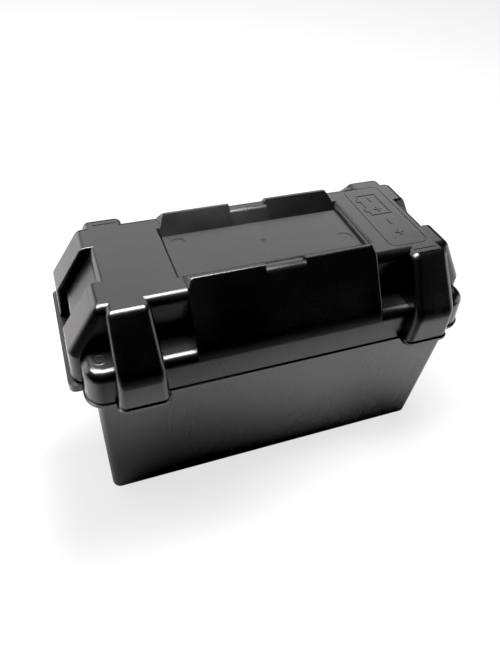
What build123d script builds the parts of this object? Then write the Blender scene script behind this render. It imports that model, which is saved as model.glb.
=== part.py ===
"""Battery box: an open tub, a lift-off hood-shaped lid and a removable battery spacer.

The box stands on the floor with its origin at the middle of its underside. +X runs along the
long side and +Z is up. The long side at -Y is the front. Lengths are in millimetres.
"""

import os

from build123d import *

# ---- Tub ----
base_length = 379.0
base_width = 185.6
tub_lean = 2.5  # each wall leans out this much between the floor and the rim
tub_height = 164.0  # underside to the top face of the rim flange
tub_wall = 3.0
tub_floor = 3.0
tub_corner = 9.0
foot_radius = 2.5
flange_thickness = 3.0
flange_overhang = 1.6  # the flange shows this much outside the lid
upstand_height = 8.0  # collar that locates the lid
upstand_step = 1.0
grip_reach = 4.0  # the handle stands out this far past the lid's end
grip_depth = 9.0
grip_wall = 2.5
grip_corner = 7.0
floor_radius = 3.0

# ---- Lid ----
lid_wall = 2.5
end_gap = 6.0  # play between the tub's end wall and the lid's skirt
side_gap = 1.0  # play between the tub's long wall and the lid's skirt
skirt_height = 35.0  # rim to the ledge
skirt_lean_x = 1.5
skirt_lean_y = 3.8
skirt_corner = 18.0
crown_height = 48.2  # ledge to the top plane
ridge_rise = 8.3  # top plane to the crest of the two ridges
body_setback = 30.8  # the middle of the lid stands this far inside the skirt's long side
body_lean = 5.5
end_pillar_reach = 9.7  # past the end of the ledge
end_pillar_lean = 1.3
end_pillar_run = 29.8  # the end slopes run in this far between the ledge and the top plane
recess_width = 50.0  # pocket between the two end pillars
recess_run = 33.0
pillar_setback = 50.8  # middle of each pillar from the skirt's end
pillar_width_rim = 48.0
pillar_inner_lean = 6.3
pillar_outer_lean = 2.2
pillar_reach = 13.2  # past the long side of the ledge
pillar_lean = 2.1
pillar_run = 39.0
panel_gap = 29.2  # pocket between a pillar and the leaning panel beside it
panel_run = 42.0  # ledge edge to the outer edge of the crest
panel_taper = 4.5
crest_flat = 3.2
tray_margin = 1.3  # the tray is this much longer than the panels at each end
tray_depth = 6.0
tray_side_run = 18.1  # how far each ridge's inner slope runs out while it rises to the crest
tray_end_lean = 0.4
strap_channel_width = 41.0
strap_channel_depth = 4.0
strap_channel_drop = 15.0  # the channel runs out on the leaning panel this far below the crest
strap_channel_setback = 1.0

# ---- Rounding ----
edge_radius = 9.5
ledge_radius = 10.0
crest_end_radius = 4.0
pillar_radius = 7.0
bend_radius = 6.0
panel_bend_radius = 36.0
pillar_bend_radius = 28.0
end_radius = 10.0
crease_radius = 8.0
pocket_radius = 2.0
crest_radius = 2.4
tray_end_radius = 5.5
strap_channel_radius = 9.0
least_radius = 0.8

# ---- Lid details ----
slit_length = 25.0
slit_width = 1.2
slit_spacing = 6.0
slit_margin = 0.8  # middle of each pair of vent slits past the edge of the lid's middle
label_setback = 27.0  # middle of the label from the top of the end recess
label_offset = 2.0
label_margin = 9.4
label_width = 44.0
label_corner = 8.0
line_width = 0.8
relief = 0.5
battery_sign_width = 24.0
battery_sign_share = 0.36  # of the label's length
battery_sign_offset = 0.2  # of the label's length, from the label's middle
terminal_sign = (3.5, 6.0)
polarity_offset = -0.21  # of the label's length, from the label's middle
polarity_size = 9.0
polarity_line = 1.6
ejector_radius = 8.5
ejector_depth = 0.4
tray_ejector_inset = (13.8, 14.7)
corner_ejector_inset = (18.5, 23.8)
corner_ejector_radius = 7.5
gate_radius = 3.0
gate_nub_radius = 1.0

# ---- Battery spacer and its guides ----
spacer_thickness = 3.0
spacer_height = 92.0
spacer_setback = 36.5  # middle of the spacer from the tub's inside end wall
spare_setback = 66.5
spacer_play = 0.5
guide_height = 60.0
guide_reach = 4.0
guide_thickness = 2.5
finger_slot_length = 80.0
finger_slot_height = 22.0
finger_slot_drop = 12.0
stiffener_reach = 3.0
stiffener_width = 2.5
stiffener_levels = (22.0, 46.0)
stiffener_inset = 3.0
spacer_corner = 4.0

# ---- Aids for drawing ----
overshoot = 20.0  # how far a cut is drawn past the face it opens
same_place = 0.1  # positions nearer than this count as the same
squareness = 0.01  # normals that share less than this count as square to an axis
wall_share = 0.04  # normals that share more than this face along an axis
foot_clearance = 1.0  # edges nearer than this to a form's foot stay sharp
slope_clearance = 1.5  # edges nearer than this to the end recess's slope stay sharp

# ---- Worked out from the sizes above ----
rim_x = base_length / 2 + tub_lean
rim_y = base_width / 2 + tub_lean
skirt_x = rim_x + end_gap + lid_wall
skirt_y = rim_y + side_gap + lid_wall
ledge_x = skirt_x - skirt_lean_x
ledge_y = skirt_y - skirt_lean_y
body_y = skirt_y - body_setback
body_top_y = body_y - body_lean
end_x = ledge_x + end_pillar_reach
recess_top_x = ledge_x - recess_run
pillar_x = skirt_x - pillar_setback
pillar_y = ledge_y + pillar_reach
panel_x = pillar_x - pillar_width_rim / 2 - panel_gap
crest_y = ledge_y - panel_run
tray_x = panel_x + tray_margin
tray_y = crest_y - crest_flat - tray_side_run
ledge_z = tub_height + skirt_height
top_z = ledge_z + crown_height
crest_z = top_z + ridge_rise
tray_z = top_z - tray_depth
tray_slope = tray_side_run / (crest_z - tray_z)
panel_slope = panel_run / (crest_z - ledge_z)
flange_z = tub_height - flange_thickness
reach = skirt_x + overshoot
label_centre = (recess_top_x - label_setback, label_offset)
label_length = 2 * (body_top_y - label_margin)
battery_sign_length = battery_sign_share * label_length


def outline(plane, half):
    """Face with a mirrored outline.

    The right half lists (distance from the middle, height, corner radius) from the bottom up.
    """
    right = [(across, height) for across, height, radius in half]
    left = [(-across, height) for across, height in reversed(right)]
    with BuildSketch(plane) as whole:
        with BuildLine():
            Polyline(*right, *left, close=True)
        make_face()
        for across, height, radius in half:
            if radius:
                fillet(corners_at(whole, across, height), radius)
    return whole.sketch


def crossed(end_view, side_view):
    """Solid with the YZ outline end_view and the XZ outline side_view."""
    with BuildPart() as solid:
        extrude(outline(Plane.YZ, end_view), amount=reach, both=True)
        extrude(outline(Plane.XZ, side_view), amount=reach, both=True, mode=Mode.INTERSECT)
    return solid.part


def corners_at(outline, across, height):
    """Both corners of an outline at this distance from the middle and this height."""
    return outline.vertices().filter_by(
        lambda v: abs(abs(v.X) - across) < same_place and abs(v.Y - height) < same_place
    )


def wall_edges(part, across, along, foot):
    """Outer edges of the walls that face along one axis and run along the other, above their foot."""
    walls = part.faces().filter_by(
        lambda f: abs(f.normal_at().dot(across.direction)) > wall_share
        and abs(f.normal_at().dot(along.direction)) < squareness
    )
    outer = [e for e in walls.edges() if sum(e.is_same(other) for other in walls.edges()) == 1]
    return ShapeList(outer).filter_by(lambda e: e.center().Z > foot + foot_clearance)


def eased(radius, inset):
    """Radius of a rounding on the form that lies inset inside the outer one."""
    return max(radius - inset, least_radius)


def skirt(inset):
    """Band round the lid's foot, with the ledge as its top face."""
    with BuildPart() as band:
        for height, lean_x, lean_y in (
            (tub_height - inset, 0, 0),
            (ledge_z - inset, skirt_lean_x, skirt_lean_y),
        ):
            with BuildSketch(Plane.XY.offset(height)):
                RectangleRounded(
                    2 * (skirt_x - lean_x - inset),
                    2 * (skirt_y - lean_y - inset),
                    skirt_corner - inset,
                )
        loft()
        fillet(band.edges().group_by(Axis.Z)[-1], eased(ledge_radius, inset))
    return band.part


def body(inset):
    """Middle of the lid with its four end pillars and the recess between each pair."""
    rim, ledge, top = tub_height - inset, ledge_z - inset, top_z - inset
    recess_top, recess_foot = recess_top_x - inset, ledge_x - inset
    with BuildPart() as middle:
        add(
            crossed(
                [(body_y - inset, rim, 0), (body_top_y - inset, top, 0)],
                [
                    (end_x + end_pillar_lean - inset, rim, 0),
                    (end_x - inset, ledge, bend_radius),
                    (end_x - end_pillar_run - inset, top, end_radius),
                ],
            )
        )
        fillet(wall_edges(middle, Axis.Y, Axis.X, rim), eased(edge_radius, inset))
        for side in (Plane.XZ, Plane.XZ.rotated((0, 0, 180))):
            with BuildSketch(side) as recess:
                with BuildLine():
                    Polyline(
                        (recess_top - overshoot * recess_run / crown_height, top + overshoot),
                        (recess_foot, ledge),
                        (recess_foot + skirt_lean_x, rim),
                        (recess_foot + skirt_lean_x, rim - overshoot),
                        (end_x + overshoot, rim - overshoot),
                        (end_x + overshoot, top + overshoot),
                        close=True,
                    )
                make_face()
                fillet(corners_at(recess, recess_foot, ledge), bend_radius)
            extrude(amount=recess_width / 2 + inset, both=True, mode=Mode.SUBTRACT)
        creases = middle.edges().filter_by(Axis.Y).filter_by(
            lambda e: abs(e.center().Z - top) < same_place
            and abs(abs(e.center().X) - recess_top) < same_place
        )
        fillet(creases, eased(crease_radius, inset))
        cheeks = middle.faces().filter_by(GeomType.PLANE).filter_by(
            lambda f: abs(abs(f.center().Y) - recess_width / 2 - inset) < same_place
        )
        fillet(
            cheeks.edges().filter_by(
                lambda e: e.center().Z > rim + foot_clearance
                and abs(e.center().X)
                > recess_top
                + slope_clearance
                + recess_run * min((top - e.center().Z) / crown_height, 1)
            ),
            eased(pocket_radius, inset),
        )
    return middle.part


def pillars(inset):
    """Front and back pillars at both ends of the box."""
    rim, ledge, top = tub_height - inset, ledge_z - inset, top_z - inset
    inner_x = pillar_x - pillar_width_rim / 2 + inset
    outer_x = pillar_x + pillar_width_rim / 2 - inset
    end_view = [
        (pillar_y + pillar_lean - inset, rim, 0),
        (pillar_y - inset, ledge, eased(pillar_bend_radius, inset)),
        (pillar_y - pillar_run - inset, top, eased(edge_radius, inset)),
    ]
    with BuildPart() as four:
        extrude(outline(Plane.YZ, end_view), amount=reach, both=True)
        with BuildSketch(Plane.XZ):
            with BuildLine():
                Polyline(
                    (inner_x, rim),
                    (inner_x + pillar_inner_lean, top),
                    (outer_x - pillar_outer_lean, top),
                    (outer_x, rim),
                    close=True,
                )
            make_face()
            mirror(about=Plane.YZ)
        extrude(amount=reach, both=True, mode=Mode.INTERSECT)
        fillet(wall_edges(four, Axis.X, Axis.Y, rim), eased(pillar_radius, inset))
    return four.part


def ridges(inset):
    """Leaning front and back panels with their crests, and the tray between them."""
    foot, ledge = ledge_z - skirt_height / 2 - inset, ledge_z - inset
    top, crest = top_z - inset, crest_z - inset
    with BuildPart() as panels:
        add(
            crossed(
                [
                    (ledge_y + skirt_lean_y / 2 - inset, foot, 0),
                    (ledge_y - inset, ledge, eased(panel_bend_radius, inset)),
                    (crest_y - inset, crest, 0),
                ],
                [
                    (panel_x - inset, foot, 0),
                    (panel_x - inset, top, bend_radius),
                    (panel_x - panel_taper - inset, crest, eased(crest_end_radius, inset)),
                ],
            )
        )
        fillet(wall_edges(panels, Axis.Y, Axis.X, foot), eased(crest_radius, inset))
    return panels.part


def tray_space(inset):
    """Empty space of the tray and above it."""
    floor, roof = tray_z - inset, crest_z + overshoot
    half_width = tray_y + inset
    half_length = tray_x + inset
    return crossed(
        [
            (half_width, floor, 0),
            (half_width + tray_slope * (roof - floor), roof, 0),
        ],
        [
            (half_length, floor, 0),
            (half_length + tray_end_lean, top_z - inset, tray_end_radius),
            (half_length + overshoot, top_z - inset, 0),
            (half_length + overshoot, roof, 0),
        ],
    )


def strap_channel(inset):
    """Empty space of the strap channel over both ridges."""
    crest = crest_z - inset
    floor = crest - strap_channel_depth
    foot = crest - strap_channel_drop
    roof = crest_z + overshoot
    lip_y = tray_y + tray_side_run + inset
    inner_y = lip_y - tray_slope * strap_channel_depth + strap_channel_setback
    outer_y = crest_y - inset + panel_slope * strap_channel_depth - strap_channel_setback
    foot_y = crest_y - inset + panel_slope * strap_channel_drop
    with BuildPart() as channel:
        with BuildSketch(Plane.YZ) as outline:
            with BuildLine():
                Polyline(
                    (tray_y + inset, tray_z - inset),
                    (inner_y, floor),
                    (outer_y, floor),
                    (foot_y, foot),
                    (foot_y + overshoot, foot),
                    (foot_y + overshoot, roof),
                    (tray_y + inset, roof),
                    close=True,
                )
            make_face()
            if not inset:
                crowns = corners_at(outline, inner_y, floor) + corners_at(outline, outer_y, floor)
                fillet(crowns, strap_channel_radius)
            mirror(about=Plane.YZ)
        extrude(amount=strap_channel_width / 2 + inset, both=True)
    return channel.part


def hood(inset):
    """Solid form of the lid, drawn in by inset all round."""
    with BuildPart() as form:
        add(skirt(inset))
        add(body(inset))
        add(pillars(inset))
        add(ridges(inset))
        add(tray_space(inset), mode=Mode.SUBTRACT)
        add(strap_channel(inset), mode=Mode.SUBTRACT)
    return form.part


def raised_sign(offset, sketch):
    """Low raised mark on the label, offset across the box from the label's middle."""
    with BuildPart() as sign:
        with BuildSketch(Plane.XY.offset(top_z)):
            with Locations((label_centre[0], label_centre[1] + offset * label_length)):
                add(sketch)
        extrude(amount=relief)
    return sign.part


def battery_outline():
    """Generic battery sign: a case outline with two terminals."""
    with BuildSketch() as outline:
        Rectangle(battery_sign_width, battery_sign_length)
        Rectangle(
            battery_sign_width - 2 * polarity_line,
            battery_sign_length - 2 * polarity_line,
            mode=Mode.SUBTRACT,
        )
        with Locations((-battery_sign_width / 2, 0)):
            with GridLocations(0, battery_sign_length / 2, 1, 2):
                Rectangle(*terminal_sign, align=(Align.MAX, Align.CENTER))
    return outline.sketch


def polarity_signs():
    """A plus and a minus side by side."""
    with BuildSketch() as signs:
        with Locations((0, -battery_sign_length / 4)):
            Rectangle(polarity_size, polarity_line)
            Rectangle(polarity_line, polarity_size)
        with Locations((0, battery_sign_length / 4)):
            Rectangle(polarity_line, polarity_size)
    return signs.sketch


def cavity_half(base, height):
    """Half the tub's inside length or width at a height, from its outside size at the base."""
    return base / 2 - tub_wall + tub_lean * height / tub_height


def tub_cavity(mouth_z):
    """Space inside the tub, up to the height of its mouth."""
    with BuildPart() as cavity:
        for height in (tub_floor, mouth_z):
            with BuildSketch(Plane.XY.offset(height)):
                RectangleRounded(
                    2 * cavity_half(base_length, height),
                    2 * cavity_half(base_width, height),
                    tub_corner - tub_wall,
                )
        loft()
        fillet(cavity.edges().group_by(Axis.Z)[0], floor_radius)
    return cavity.part


# ---- Lid ----
slit_y = body_top_y + slit_margin
tray_ejector_y = tray_y - tray_ejector_inset[1]
with BuildPart() as lid:
    add(hood(0))
    add(hood(lid_wall), mode=Mode.SUBTRACT)
    for side in (-1, 1):
        with BuildSketch(Plane.XY.offset(top_z + relief)):
            with Locations((side * pillar_x, -side * slit_y)):
                with GridLocations(0, slit_spacing, 1, 2):
                    SlotOverall(slit_length, slit_width)
        extrude(amount=-2 * lid_wall, mode=Mode.SUBTRACT)
        with BuildSketch(Plane.XY.offset(tray_z)):
            with Locations((side * (tray_x - tray_ejector_inset[0]), -side * tray_ejector_y)):
                Circle(ejector_radius)
        extrude(amount=-ejector_depth, mode=Mode.SUBTRACT)
    with BuildSketch(Plane.XY.offset(ledge_z)):
        with GridLocations(
            2 * (skirt_x - corner_ejector_inset[0]), 2 * (skirt_y - corner_ejector_inset[1]), 2, 2
        ):
            Circle(corner_ejector_radius)
    extrude(amount=-ejector_depth, mode=Mode.SUBTRACT)
    with BuildSketch(Plane.XY.offset(tray_z)):
        Circle(gate_radius)
        Circle(gate_nub_radius, mode=Mode.SUBTRACT)
    extrude(amount=-ejector_depth, mode=Mode.SUBTRACT)
    with BuildSketch(Plane.XY.offset(top_z)):
        with Locations(label_centre):
            RectangleRounded(label_width, label_length, label_corner)
            RectangleRounded(
                label_width - 2 * line_width,
                label_length - 2 * line_width,
                label_corner - line_width,
                mode=Mode.SUBTRACT,
            )
    extrude(amount=-relief, mode=Mode.SUBTRACT)
    add(raised_sign(battery_sign_offset, battery_outline()))
    add(raised_sign(battery_sign_offset, polarity_signs()))
    add(raised_sign(polarity_offset, polarity_signs()))
lid.part.label = "lid"

# ---- Tub ----
collar_z = tub_height + upstand_height
grip_x = end_x + end_pillar_lean + grip_reach
flange_x = skirt_x + flange_overhang
flange_y = skirt_y + flange_overhang
grip_y = body_y + flange_overhang
with BuildPart() as tub:
    for height, lean in ((0, 0), (tub_height, tub_lean)):
        with BuildSketch(Plane.XY.offset(height)):
            RectangleRounded(base_length + 2 * lean, base_width + 2 * lean, tub_corner)
    loft()
    fillet(tub.edges().group_by(Axis.Z)[0], foot_radius)
    with BuildSketch(Plane.XY.offset(flange_z)) as flange:
        RectangleRounded(2 * flange_x, 2 * flange_y, skirt_corner + flange_overhang)
        with GridLocations(2 * pillar_x, 0, 2, 1):
            Rectangle(
                pillar_width_rim + 2 * flange_overhang,
                2 * (pillar_y + pillar_lean + flange_overhang),
            )
        Rectangle(2 * grip_x, 2 * grip_y)
        fillet(
            flange.vertices().filter_by(lambda v: abs(v.Y) > flange_y + same_place),
            pillar_radius + flange_overhang,
        )
        fillet(
            flange.vertices().filter_by(lambda v: abs(v.X) > flange_x + same_place),
            grip_corner,
        )
    extrude(amount=flange_thickness)
    with BuildSketch(Plane.XY.offset(tub_height - grip_depth)):
        RectangleRounded(2 * grip_x, 2 * grip_y, grip_corner)
        Rectangle(2 * rim_x, 2 * grip_y, mode=Mode.SUBTRACT)
    extrude(amount=grip_depth - flange_thickness)
    with BuildSketch(Plane.XY.offset(tub_height - grip_depth)):
        RectangleRounded(2 * (grip_x - grip_wall), 2 * (grip_y - grip_wall), grip_corner - grip_wall)
        Rectangle(2 * rim_x, 2 * grip_y, mode=Mode.SUBTRACT)
    extrude(amount=grip_depth - flange_thickness, mode=Mode.SUBTRACT)
    with BuildSketch(Plane.XY.offset(tub_height)):
        RectangleRounded(
            2 * (rim_x - upstand_step), 2 * (rim_y - upstand_step), tub_corner - upstand_step
        )
    extrude(amount=upstand_height)
    add(tub_cavity(collar_z), mode=Mode.SUBTRACT)
    inside_x = cavity_half(base_length, tub_floor)
    inside_y = cavity_half(base_width, tub_floor)
    guide_y = inside_y - guide_reach
    guide_run = spacer_thickness + 2 * spacer_play + guide_thickness
    for setback in (spacer_setback, spare_setback):
        with BuildSketch(Plane.XY.offset(tub_floor)):
            with GridLocations(2 * (inside_x - setback), 0, 2, 1):
                with GridLocations(guide_run, 0, 2, 1):
                    Rectangle(guide_thickness, 2 * inside_y + tub_wall)
                    Rectangle(guide_thickness, 2 * guide_y, mode=Mode.SUBTRACT)
        extrude(amount=guide_height)
tub.part.label = "tub"

# ---- Battery spacer ----
spacer_x = inside_x - spacer_setback
spacer_top = tub_floor + spacer_height
foot_half = inside_y - spacer_play
top_half = cavity_half(base_width, spacer_top) - spacer_play
slot_z = spacer_top - finger_slot_drop - finger_slot_height / 2
with BuildPart() as battery_spacer:
    with BuildSketch(Plane.YZ.offset(spacer_x - spacer_thickness / 2)) as plate:
        with BuildLine():
            Polyline(
                (-foot_half, tub_floor),
                (foot_half, tub_floor),
                (top_half, spacer_top),
                (-top_half, spacer_top),
                close=True,
            )
        make_face()
        fillet(plate.vertices(), spacer_corner)
        with Locations((0, slot_z)):
            SlotOverall(finger_slot_length, finger_slot_height, mode=Mode.SUBTRACT)
    extrude(amount=spacer_thickness)
    with BuildSketch(Plane.YZ.offset(spacer_x - spacer_thickness / 2)):
        for level in stiffener_levels:
            with Locations((0, tub_floor + level)):
                Rectangle(2 * (guide_y - stiffener_inset), stiffener_width)
    extrude(amount=-stiffener_reach)
battery_spacer.part.label = "battery_spacer"

os.makedirs("parts", exist_ok=True)
for piece in (lid, tub, battery_spacer):
    export_step(piece.part, f"parts/{piece.part.label}.step")
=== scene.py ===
"""Looks for the battery box: semi-gloss black mouldings on a white floor under soft light."""

import math

import bpy
from mathutils import Matrix, Vector

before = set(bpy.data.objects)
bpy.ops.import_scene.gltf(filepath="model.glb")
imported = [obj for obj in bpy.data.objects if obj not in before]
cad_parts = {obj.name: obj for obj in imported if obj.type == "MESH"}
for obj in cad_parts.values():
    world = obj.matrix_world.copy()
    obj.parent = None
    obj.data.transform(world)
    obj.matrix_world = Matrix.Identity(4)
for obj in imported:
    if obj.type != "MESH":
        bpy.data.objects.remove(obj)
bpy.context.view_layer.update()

# ---- Camera, in metres and degrees ----
CAMERA_PLACE = Vector((-0.1994, -0.3990, 0.5667))
CAMERA_PITCH = 44.574
CAMERA_YAW = 20.299
CAMERA_ROLL = -3.216
SENSOR = 36.0
FOCAL = 29.787
SHIFT = (0.0603, -0.0137)

# ---- Floor: where it lies and what it sends back ----
FLOOR_SIZE = 12.0
FLOOR_WHITE = (0.42, 0.412, 0.409, 1.0)
FLOOR_GREY = (0.05, 0.049, 0.0485, 1.0)
REFLECTED_SHADE_EDGE = (-0.37, -0.28)  # painted shade: in reflections only, the floor turns grey here, going forward
REFLECTED_SHADE_TURN = 0.15  # how far that edge runs askew to the box
CORNER_SHADE = 0.8  # strength of a shade painted by the near left corner, cast by no light
CORNER_SHADE_X = (-0.34, -0.22, -0.12, 0.14)  # it comes in, is full, starts to go, is gone
CORNER_SHADE_Y = (-0.25, -0.12, -0.04, 0.04)
FLOOR_LIFT = 0.74  # share of glow in the floor as the camera sees it

# ---- Room ----
SKY = (0.02, 0.02, 0.02, 1.0)  # the dark room, in reflections
BACKDROP = (1.0, 1.0, 1.0, 1.0)  # what is seen past the floor's end
BLACK_POINT = 0.0035  # darker than this is plain black
LIGHT_TARGET = (0.0, 0.0, 0.2)
LIGHTS = (  # name, place, direction of the first side, size, strength
    ("ceiling_panel", (-0.35, 0.22, 1.7), (1, 0, 0), (1.7, 0.7), 42.0),
    ("back_wall", (0.7, 2.3, 1.9), (1, 0, 0), (3.4, 1.6), 2.3),
    ("left_wall", (-1.6, 1.3, 0.7), (1, 1, 0), (2.2, 1.3), 3.5),
    ("right_panel", (1.9, -0.6, 0.45), (0, 1, 0), (1.3, 0.8), 2.5),
)

# ---- Black polypropylene ----
BLACK = (0.0006, 0.0006, 0.0006, 1.0)
BLACK_WORN = (0.0012, 0.0012, 0.0012, 1.0)
WORN_FROM = (0.4, 0.8)  # smudge at which wear starts and is full
GLOSS = 0.16  # roughness before smudges and streaks
SMUDGE_ROUGHNESS = 0.14
STREAK_ROUGHNESS = 0.06
REFRACTION = 1.5
GRAIN_SCALE = 900.0
SMUDGE_SCALE = 16.0
RIPPLE_SCALE = 45.0
STREAK_SCALE = 22.0
STREAK_SHARE = 0.3  # of the ripple's height
BUMP = 0.3
GRAIN_HEIGHT = 0.0002
SINK_HEIGHT = 0.0004
EVEN_FLOW = (1.0, 1.0, 1.0)
UPRIGHT_FLOW = (4.0, 4.0, 0.5)  # the tub's flow marks run upright

# ---- Moulding marks ----
RIB_PLACES = (-0.128, -0.100)  # middle of each group of lines
RIB_LINE_PITCH = 0.005
RIB_DEPTH = 1.6
RIB_SPREAD = (0.008, 0.011)
RIB_FOOT = (0.066, 0.078)
RIB_TOP = (0.118, 0.128)
RING_PLACE = (0.1827, 0.0741)
RING_RADIUS = 0.0055
RING_LINE = (0.0003, 0.0012)
RING_BELOW = (0.201, 0.203)  # the ring is on the ledge, under this height


class Socket:
    """A shader value that builds Math nodes when it is used in an expression."""

    def __init__(self, nodes, link):
        self.nodes = nodes
        self.link = link

    def maths(self, operation, first, second):
        return self.nodes.add("ShaderNodeMath", {"operation": operation}, {0: first, 1: second})

    def __add__(self, other):
        return self.maths("ADD", self, other)

    __radd__ = __add__

    def __sub__(self, other):
        return self.maths("SUBTRACT", self, other)

    def __rsub__(self, other):
        return self.maths("SUBTRACT", other, self)

    def __mul__(self, other):
        return self.maths("MULTIPLY", self, other)

    __rmul__ = __mul__

    def through(self, function):
        """The value put through a function of one number, such as SINE or ABSOLUTE."""
        return self.nodes.add("ShaderNodeMath", {"operation": function}, {0: self})

    def rise(self, low, high):
        """Goes smoothly from 0 to 1 while the value goes from low to high."""
        return self.nodes.add(
            "ShaderNodeMapRange",
            {"interpolation_type": "SMOOTHSTEP"},
            {"Value": self, "From Min": low, "From Max": high},
        )


class Nodes:
    """Node tree of one material or world, with one method that adds any node."""

    def __init__(self, owner):
        owner.use_nodes = True
        self.tree = owner.node_tree
        self.tree.nodes.clear()

    def add(self, kind, settings=None, sockets=None, output=0):
        """A node of this kind, with its settings made first and its sockets filled or linked."""
        node = self.tree.nodes.new(kind)
        for name, value in (settings or {}).items():
            setattr(node, name, value)
        for where, value in (sockets or {}).items():
            if isinstance(value, Socket):
                self.tree.links.new(value.link, node.inputs[where])
            else:
                node.inputs[where].default_value = value
        return Socket(self, node.outputs[output]) if node.outputs else None

    def blend(self, factor, first, second):
        """Colour between two colours."""
        return self.add("ShaderNodeMix", {"data_type": "RGBA"}, {0: factor, 6: first, 7: second}, 2)


def aim_camera():
    """Looks down at the box from its front left corner, a little rolled."""
    pitch, yaw, roll = (math.radians(a) for a in (CAMERA_PITCH, CAMERA_YAW, CAMERA_ROLL))
    forward = Vector(
        (math.sin(yaw) * math.cos(pitch), math.cos(yaw) * math.cos(pitch), -math.sin(pitch))
    )
    level_right = Vector((math.cos(yaw), -math.sin(yaw), 0.0))
    level_down = forward.cross(level_right)
    right = math.cos(roll) * level_right + math.sin(roll) * level_down
    down = -math.sin(roll) * level_right + math.cos(roll) * level_down
    turn = Matrix((right, -down, -forward)).transposed().to_4x4()
    lens = bpy.data.cameras.new("camera")
    lens.sensor_width = SENSOR
    lens.lens = FOCAL
    lens.shift_x, lens.shift_y = SHIFT
    camera = bpy.data.objects.new("camera", lens)
    camera.matrix_world = Matrix.Translation(CAMERA_PLACE) @ turn
    bpy.context.collection.objects.link(camera)
    bpy.context.scene.camera = camera


def lay_floor():
    """White floor with a shade painted by one corner, and a front part painted grey as shade that
    shows only in reflections.
    """
    mesh = bpy.data.meshes.new("floor")
    half = FLOOR_SIZE / 2
    corners = [(-half, -half, 0), (half, -half, 0), (half, half, 0), (-half, half, 0)]
    mesh.from_pydata(corners, [], [(0, 1, 2, 3)])
    floor = bpy.data.objects.new("floor", mesh)
    bpy.context.collection.objects.link(floor)
    paper = bpy.data.materials.new("floor_paper")
    nodes = Nodes(paper)
    place = nodes.add("ShaderNodeTexCoord", output=3)
    across = nodes.add("ShaderNodeSeparateXYZ", None, {0: place}, 0)
    along = nodes.add("ShaderNodeSeparateXYZ", None, {0: place}, 1)
    seen = nodes.add("ShaderNodeLightPath")
    # painted shade: the floor's front part is grey for reflections, white as the camera sees it
    lit = (along + REFLECTED_SHADE_TURN * across).rise(*REFLECTED_SHADE_EDGE)
    lit = 1 - (1 - lit) * (1 - seen)
    beside = across.rise(*CORNER_SHADE_X[:2]) * (1 - across.rise(*CORNER_SHADE_X[2:]))
    before = along.rise(*CORNER_SHADE_Y[:2]) * (1 - along.rise(*CORNER_SHADE_Y[2:]))
    shade = nodes.blend(lit * (1 - CORNER_SHADE * beside * before), FLOOR_GREY, FLOOR_WHITE)
    matt = nodes.add("ShaderNodeBsdfDiffuse", None, {"Color": shade})
    glow = nodes.add("ShaderNodeEmission", None, {"Strength": 1.0})
    surface = nodes.add("ShaderNodeMixShader", None, {0: seen * FLOOR_LIFT, 1: matt, 2: glow})
    nodes.add("ShaderNodeOutputMaterial", None, {"Surface": surface})
    mesh.materials.append(paper)


def panel_light(name, place, target, along, size, strength):
    """Soft rectangular light that faces target, with its first side along a given direction."""
    light = bpy.data.lights.new(name, "AREA")
    light.shape = "RECTANGLE"
    light.size, light.size_y = size
    light.energy = strength * size[0] * size[1] * math.pi
    lamp = bpy.data.objects.new(name, light)
    back = (Vector(place) - Vector(target)).normalized()
    side = Vector(along)
    side = (side - side.dot(back) * back).normalized()
    turn = Matrix((side, back.cross(side), back)).transposed().to_4x4()
    lamp.matrix_world = Matrix.Translation(place) @ turn
    bpy.context.collection.objects.link(lamp)


def light_studio():
    """Bright panel above, paler walls round it, and a room that is seen pale but reflects dark."""
    for name, place, along, size, strength in LIGHTS:
        panel_light(name, place, LIGHT_TARGET, along, size, strength)
    world = bpy.data.worlds.new("room")
    bpy.context.scene.world = world
    nodes = Nodes(world)
    dark = nodes.add("ShaderNodeBackground", None, {"Color": SKY, "Strength": 1.0})
    pale = nodes.add("ShaderNodeBackground", None, {"Color": BACKDROP, "Strength": 1.0})
    seen = nodes.add("ShaderNodeLightPath")
    surface = nodes.add("ShaderNodeMixShader", None, {0: seen, 1: dark, 2: pale})
    nodes.add("ShaderNodeOutputWorld", None, {"Surface": surface})


def noise(nodes, place, scale, detail):
    """Cloudy pattern of a given fineness and number of layers."""
    return nodes.add(
        "ShaderNodeTexNoise", None, {"Vector": place, "Scale": scale, "Detail": detail}
    )


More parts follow.
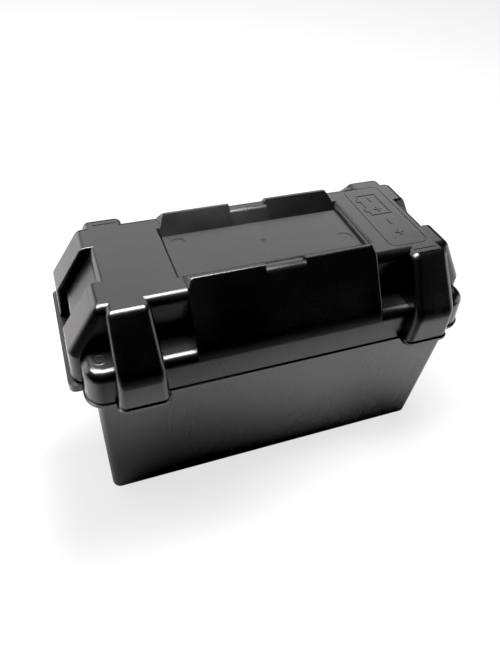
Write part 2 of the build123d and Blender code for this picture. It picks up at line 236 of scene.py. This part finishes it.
def black_plastic(name, flow, marks=None):
    """Semi-gloss black polypropylene with a fine skin, flow marks, smudges and moulding marks."""
    material = bpy.data.materials.new(name)
    nodes = Nodes(material)
    place = nodes.add("ShaderNodeTexCoord", output=3)
    grain = noise(nodes, place, GRAIN_SCALE, 3.0)
    smudge = noise(nodes, place, SMUDGE_SCALE, 5.0)
    ripple = noise(nodes, place, RIPPLE_SCALE, 1.0)
    drawn = nodes.add("ShaderNodeMapping", None, {"Vector": place, "Scale": flow})
    streak = noise(nodes, drawn, STREAK_SCALE, 5.0)
    height = ripple + STREAK_SHARE * streak
    if marks:
        height = height + marks(nodes, place)
    skin = nodes.add(
        "ShaderNodeBump", None, {"Strength": BUMP, "Distance": GRAIN_HEIGHT, "Height": grain}
    )
    sink = nodes.add(
        "ShaderNodeBump",
        None,
        {"Strength": BUMP, "Distance": SINK_HEIGHT, "Height": height, "Normal": skin},
    )
    surface = nodes.add(
        "ShaderNodeBsdfPrincipled",
        None,
        {
            "Base Color": nodes.blend(smudge.rise(*WORN_FROM), BLACK, BLACK_WORN),
            "Roughness": GLOSS + SMUDGE_ROUGHNESS * smudge + STREAK_ROUGHNESS * streak,
            "IOR": REFRACTION,
            "Normal": sink,
        },
    )
    nodes.add("ShaderNodeOutputMaterial", None, {"Surface": surface})
    return material


def split(nodes, place):
    """The three coordinates of a place."""
    return [nodes.add("ShaderNodeSeparateXYZ", None, {0: place}, axis) for axis in range(3)]


def rib_marks(nodes, place):
    """Faint upright sink lines in two groups on the long walls, over ribs inside."""
    x, _, z = split(nodes, place)
    lines = (x * (math.tau / RIB_LINE_PITCH)).through("SINE")
    tall = z.rise(*RIB_FOOT) * (1 - z.rise(*RIB_TOP))
    marks = 0.0
    for middle in RIB_PLACES:
        marks = marks + (1 - (x - middle).through("ABSOLUTE").rise(*RIB_SPREAD))
    return RIB_DEPTH * lines * marks * tall


def ejector_ring(nodes, place):
    """Small raised ring on the flat of each rounded corner of the lid's ledge."""
    x, y, z = split(nodes, place)
    off_x = x.through("ABSOLUTE") - RING_PLACE[0]
    off_y = y.through("ABSOLUTE") - RING_PLACE[1]
    away = (off_x * off_x + off_y * off_y).through("SQRT")
    ring = 1 - (away - RING_RADIUS).through("ABSOLUTE").rise(*RING_LINE)
    return ring * (1 - z.rise(*RING_BELOW))


def paint(node, material):
    """Gives a CAD node its finish."""
    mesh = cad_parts[node].data
    mesh.materials.clear()
    mesh.materials.append(material)


aim_camera()
lay_floor()
light_studio()
paint("lid", black_plastic("lid_plastic", EVEN_FLOW, ejector_ring))
paint("tub", black_plastic("tub_plastic", UPRIGHT_FLOW, rib_marks))
paint("battery_spacer", black_plastic("spacer_plastic", EVEN_FLOW))
view = bpy.context.scene.view_settings
view.view_transform = "Standard"
view.use_curve_mapping = True
view.curve_mapping.black_level = (BLACK_POINT, BLACK_POINT, BLACK_POINT)
